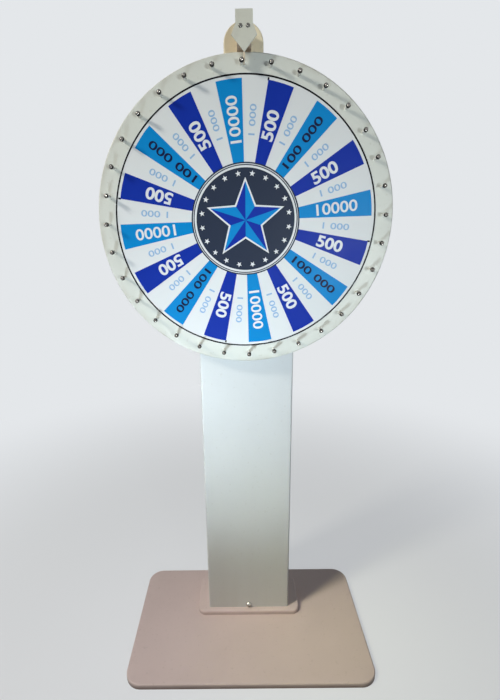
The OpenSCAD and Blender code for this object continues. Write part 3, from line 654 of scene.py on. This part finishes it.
star_outer, star_inner, star_line = 0.100, 0.043, 0.010
star = star_points(star_outer, star_inner)
star_edge = star_points(star_outer + star_line, star_inner + star_line * 0.55)
light_facet = [(0.0, 0.0), star[0], star[1]]
dark_facet = [(0.0, 0.0), star[1], star[2]]
small_outer, small_inner, small_ring, small_count = 0.008, 0.0034, 0.1195, 20
small_star = [(x, z + small_ring) for x, z in star_points(small_outer, small_inner)]
small_turn = math.pi / small_count
mark_inner, mark_outer, mark_half, mark_count = 0.3405, 0.3475, 0.0022, 4
mark = [
    (-mark_half, mark_inner), (-mark_half, mark_outer), (mark_half, mark_outer), (mark_half, mark_inner),
]
mark_turn = rest_angle + sector_angle
disc_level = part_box("medallion_disc")[0].y
star_level = disc_level - ink_thickness
for name, points, count, first_turn, level, slot, film in (
    ("star_edge", star_edge, 1, 0.0, disc_level, "white_film", white_film),
    ("star_light", light_facet, star_tips, 0.0, star_level, "azure_film", azure_film),
    ("star_dark", dark_facet, star_tips, 0.0, star_level, "royal_film", royal_film),
    ("small_stars", small_star, small_count, small_turn, disc_level, "white_film", white_film),
    ("print_marks", mark, mark_count, mark_turn, white_level, "black_film", black_film),
):
    turns = [first_turn + 2 * math.pi * i / count for i in range(count)]
    set_out(name, inked_shape(name, points), face_spots(turns, level), film, "wheel", slot)

# Pegs
# White nylon posts under polished domed caps, each held by a cross-head screw from the back of the
# board. The nylon is slightly milky. The caps are chromed, with a painted reflection: bright at the
# crown and dark at the skirt.

nylon = Finish("white_nylon", IOR=1.53)
milk = nylon.between(nylon.noise(120.0), 0.4, 0.7)
nylon.feed("Base Color", nylon.mix(milk, linear(226, 226, 218), linear(212, 210, 198)))
nylon.feed("Roughness", 0.36 + milk * 0.1)
nylon.bump(nylon.noise(700.0, detail=2.0), distance=0.00002, strength=0.5)
dress(nylon, "peg_posts")


def chrome_with_painted_reflection(name, node, painted_crown_tone):
    """Chrome on domes with a painted reflection: the crown is painted bright and the skirt dark, as the
    bright and the dark side of a room would show in them.
    """
    metal = worn_metal(name, painted_crown_tone, roughness=0.1)
    crown_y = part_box(node)[0].y
    bright_depth, dark_depth = 0.0003, 0.0025
    # Painted reflection: the base colour goes from bright at the crown to dark down the skirt
    skirt = metal.between(metal.axes()[1], crown_y + bright_depth, crown_y + dark_depth)
    metal.feed("Base Color", metal.mix(skirt, painted_crown_tone, linear(40, 38, 36)))
    return metal


# Painted reflection on the peg caps: bright crown, dark skirt
dress(chrome_with_painted_reflection("cap_chrome_painted_reflection", "peg_caps", linear(138, 134, 129)), "peg_caps")
peg_radius, peg_rise = 0.005, 0.003
peg_head = driven_head(
    "peg_screw", dome_rise(peg_radius, peg_rise, mouth=0.0032), cross_reach,
    across=0.0055, depth=0.0016, shank_radius=0.0025, shank_length=0.049,
)
peg_spots = head_spots("peg_screws", "back", peg_rise)
set_out("peg_screw_heads", peg_head, peg_spots, zinc, "wheel", "zinc_steel", "peg_screws")

# Pointer's post and block
# An arched board, sprayed cream and screwed to the column behind the wheel, carries a planed hardwood
# block out over the rim. A plated pin across the block holds the flapper in its slot.

post_paint = sprayed_paint(
    "post_paint", linear(248, 238, 209), column_grey, roughness=0.42, stipple=400.0
)
dress(post_paint, "pointer_post")
hardwood = planed_wood(
    "hardwood", linear(206, 186, 168), linear(174, 153, 138),
    grain=(3.0, 0.35, 3.0), ring_scale=30.0, roughness=0.5,
)
dress(hardwood, "pointer_block")
dress(zinc, "flapper_pin")

# Pointer plate and its screws
# A pale grey plastic plate, cut to a stem, two barbs and a V, and rubbed a little dull. Two chromed
# domed screws, with a painted reflection, hold it to the front of the block.

pointer_finish = Finish("pointer_plastic", IOR=1.49)
rub = pointer_finish.between(pointer_finish.noise(40.0, detail=4.0), 0.4, 0.72)
pointer_tone = pointer_finish.mix(rub * 0.5, linear(214, 215, 204), linear(200, 200, 188))
pointer_finish.feed("Base Color", pointer_tone)
pointer_finish.feed("Roughness", 0.38 + rub * 0.14)
pointer_finish.bump(pointer_finish.noise(900.0, detail=2.0), distance=0.00003, strength=0.6)
dress(pointer_finish, "pointer_plate")
# Painted reflection on the pointer screws' heads: bright crown, dark skirt
screw_chrome_painted_reflection = chrome_with_painted_reflection("screw_chrome_painted_reflection", "pointer_screws", linear(130, 128, 123))
pointer_radius, pointer_rise = 0.005, 0.003
pointer_head = driven_head(
    "pointer_screw", dome_rise(pointer_radius, pointer_rise, mouth=0.0019), cross_reach,
    across=0.0034, depth=0.0016, shank_radius=0.0025, shank_length=0.025,
)
pointer_spots = head_spots("pointer_screws", "front", pointer_rise)
set_out(
    "pointer_screw_heads", pointer_head, pointer_spots, screw_chrome_painted_reflection, "stand", "bright_chrome",
    "pointer_screws",
)

# Flapper
# A strip of pale leather, gripped in the block's slot by a pin, that bends to either side as the pegs
# go by. Its edges are burnished darker than its faces, and its free end is rounded.

leather = Finish("leather", Specular_IOR_Level=0.35)
cell_sockets = {"Vector": leather.place, "Scale": 900.0}
cells = leather.node("ShaderNodeTexVoronoi", {"feature": "DISTANCE_TO_EDGE"}, cell_sockets)
crease = leather.between(cells, 0.0, 0.12)
patch = leather.between(leather.noise(110.0, detail=4.0), 0.4, 0.7)
flapper_low, flapper_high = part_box("flapper")
leather_x = leather.calc("ABSOLUTE", leather.axes()[0])
burnish = 1.0 - leather.between(leather_x, flapper_high.x * 0.55, flapper_high.x * 0.95)
hide = leather.mix(patch, linear(246, 234, 214), linear(236, 221, 198))
leather.feed("Base Color", leather.mix(burnish * 0.3, hide, linear(206, 182, 152)))
leather.feed("Roughness", 0.62 - crease * 0.12)
leather.bump(crease, distance=0.00015, strength=0.6)


def leather_strip():
    """The strip as rings that can bend: its outline seen along X, in many short steps up its length."""
    middle_y = (flapper_low.y + flapper_high.y) / 2
    half_w = (flapper_high.y - flapper_low.y) / 2
    half_t = (flapper_high.x - flapper_low.x) / 2
    soft, step, corner_steps = 0.0006, 0.0016, 8
    corner = half_w * 2 / 3
    row_count = int((flapper_high.z - flapper_low.z) / step) + 1
    heights = [flapper_high.z - i * step for i in range(row_count)]
    for i in range(1, corner_steps + 1):
        heights.append(flapper_low.z + corner * (1 - math.sin(i * math.pi / 2 / corner_steps)))
    mesh = bmesh.new()
    rings = []
    for z in sorted({round(z, 6) for z in heights}, reverse=True):
        above = z - flapper_low.z
        half = half_w
        if above < corner:
            half = half_w - corner + math.sqrt(max(0.0, corner * corner - (corner - above) ** 2))
        half = max(half, soft * 1.2)
        thin, narrow = half_t - soft, half - soft
        section = (
            (-thin, -half), (thin, -half), (half_t, -narrow), (half_t, narrow),
            (thin, half), (-thin, half), (-half_t, narrow), (-half_t, -narrow),
        )
        rings.append([mesh.verts.new((x, middle_y + y, z)) for x, y in section])
    skin(mesh, rings)
    data = smooth(closed_mesh("flapper_strip", mesh))
    data.materials.append(leather.material)
    return placed("flapper_strip", data)


flapper = leather_strip()
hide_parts("flapper")
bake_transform(flapper)

# Studio
# A pale floor that fades into a pale sky. A warm lamp stands high at the front left, a cool one shines
# up from below, and weak ones fill from the right, on either side of the base and from behind. The
# camera stands where the photograph was taken from.

floor_mesh = bpy.data.meshes.new("floor")
floor_half = 30.0
floor_corners = [(x * floor_half, y * floor_half, 0) for x, y in ((-1, -1), (1, -1), (1, 1), (-1, 1))]
floor_mesh.from_pydata(floor_corners, [], [(0, 1, 2, 3)])
pale_ground = linear(228, 231, 234)
floor_finish = Finish("floor", Roughness=0.8)
floor_tone = floor_finish.mix(floor_finish.noise(1.5), linear(232, 233, 234), linear(226, 228, 230))
bounced = floor_finish.node("ShaderNodeLightPath", out="Is Diffuse Ray")
floor_finish.feed("Base Color", floor_finish.mix(bounced, floor_tone, linear(96, 92, 90)))
floor_x, floor_y, _ = floor_finish.axes()
floor_reach = (floor_x * floor_x + floor_y * floor_y) ** 0.5
floor_glow = floor_finish.node("ShaderNodeEmission", None, {"Color": pale_ground})
pale_rays = ("Is Camera Ray", "Is Glossy Ray", "Is Transmission Ray")
seen_floor = 0.0
for ray_kind in pale_rays:
    looking = floor_finish.node("ShaderNodeLightPath", out=ray_kind)
    seen_floor = floor_finish.calc("MAXIMUM", looking, seen_floor)
near_glow, far_start, far_end = 0.6, 0.7, 2.6
faded = seen_floor * floor_finish.between(floor_reach, far_start, far_end, start=near_glow, end=1.0)
floor_shader = Wire(floor_finish, floor_finish.shader.outputs[0])
floor_mix = floor_finish.node("ShaderNodeMixShader", None, {0: faded, 1: floor_shader, 2: floor_glow})
floor_finish.plug(floor_finish.tree.nodes["Material Output"].inputs["Surface"], floor_mix)
floor_mesh.materials.append(floor_finish.material)
placed("floor", floor_mesh)

world = bpy.data.worlds.new("studio")
scene.world = world
world.use_nodes = True
sky = world.node_tree
background = sky.nodes["Background"]
background.inputs["Color"].default_value = pale_ground
sky_light, sky_seen = 0.12, 1.0
ray = sky.nodes.new("ShaderNodeLightPath")
strength = sky.nodes.new("ShaderNodeMapRange")
strength.inputs["To Min"].default_value = sky_light
strength.inputs["To Max"].default_value = sky_seen
seen_sky = strength.inputs["Value"]
for ray_kind in pale_rays:
    either = sky.nodes.new("ShaderNodeMath")
    either.operation = "MAXIMUM"
    either.inputs[1].default_value = 0.0
    sky.links.new(either.outputs[0], seen_sky)
    sky.links.new(ray.outputs[ray_kind], either.inputs[0])
    seen_sky = either.inputs[1]
sky.links.new(strength.outputs["Result"], background.inputs["Strength"])


def soft_lamp(name, place, aim, size, power, colour, spread=180):
    """A square soft box that faces a point; spread is the angle that its grid lets through."""
    lamp = bpy.data.lights.new(name, "AREA")
    lamp.shape = "SQUARE"
    lamp.size = size
    lamp.energy = power
    lamp.color = colour
    lamp.spread = math.radians(spread)
    holder = placed(name, lamp)
    holder.location = place
    holder.rotation_euler = (Vector(aim) - Vector(place)).to_track_quat("-Z", "Y").to_euler()
    holder.visible_camera = False


soft_lamp(
    "key", place=(-2.66, -1.54, 3.05), aim=(0, 0, 1.3), size=0.45, power=66, colour=(1.0, 0.945, 0.83)
)
soft_lamp(
    "low", place=(-0.62, -1.15, 0.38), aim=(0, 0, 1.02), size=0.13, power=2.02,
    colour=(0.77, 0.91, 1.0), spread=64,
)
soft_lamp(
    "side", place=(1.1, -2.8, 1.15), aim=(0, 0, 1.35), size=0.2, power=2.9,
    colour=(0.9, 0.97, 0.98), spread=56,
)
soft_lamp(
    "foot", place=(-0.87, -0.69, 2.7), aim=(-0.22, -0.1, 0), size=0.25, power=0.6,
    colour=(1.0, 0.94, 1.0), spread=40,
)
soft_lamp(
    "warm", place=(-1.2, -0.93, 2.0), aim=(0.42, -0.06, 0), size=0.25, power=0.37,
    colour=(0.97, 1.0, 0.5), spread=26,
)
soft_lamp(
    "back", place=(0.25, 2.9, 1.95), aim=(0, 0, 1.4), size=0.7, power=3.6,
    colour=(1.0, 0.99, 0.97), spread=34,
)

# The camera's place and angles come from the photograph's perspective
camera_place = (-0.0245, -1.2304, 1.3475)
yaw, pitch, roll = (math.radians(degrees) for degrees in (-0.417, 15.349, -0.925))
focal_pixels, frame_height_pixels = 426.51, 700
shift_right_pixels, shift_up_pixels = 14.55, 3.2
sensor_long_side = 36.0
ahead = Vector((math.sin(yaw) * math.cos(pitch), math.cos(yaw) * math.cos(pitch), -math.sin(pitch)))
right = Vector((math.cos(yaw), -math.sin(yaw), 0))
over = right.cross(ahead)
across = math.cos(roll) * right + math.sin(roll) * over
up = -math.sin(roll) * right + math.cos(roll) * over
lens = bpy.data.cameras.new("camera")
lens.sensor_fit = "AUTO"
lens.sensor_width = sensor_long_side
lens.lens = focal_pixels / frame_height_pixels * sensor_long_side
lens.shift_x = shift_right_pixels / frame_height_pixels
lens.shift_y = shift_up_pixels / frame_height_pixels
lens.clip_end = 100
camera = placed("camera", lens)
camera.matrix_world = Matrix.Translation(camera_place) @ Matrix((across, up, -ahead)).transposed().to_4x4()
scene.camera = camera
scene.view_settings.view_transform = "Standard"
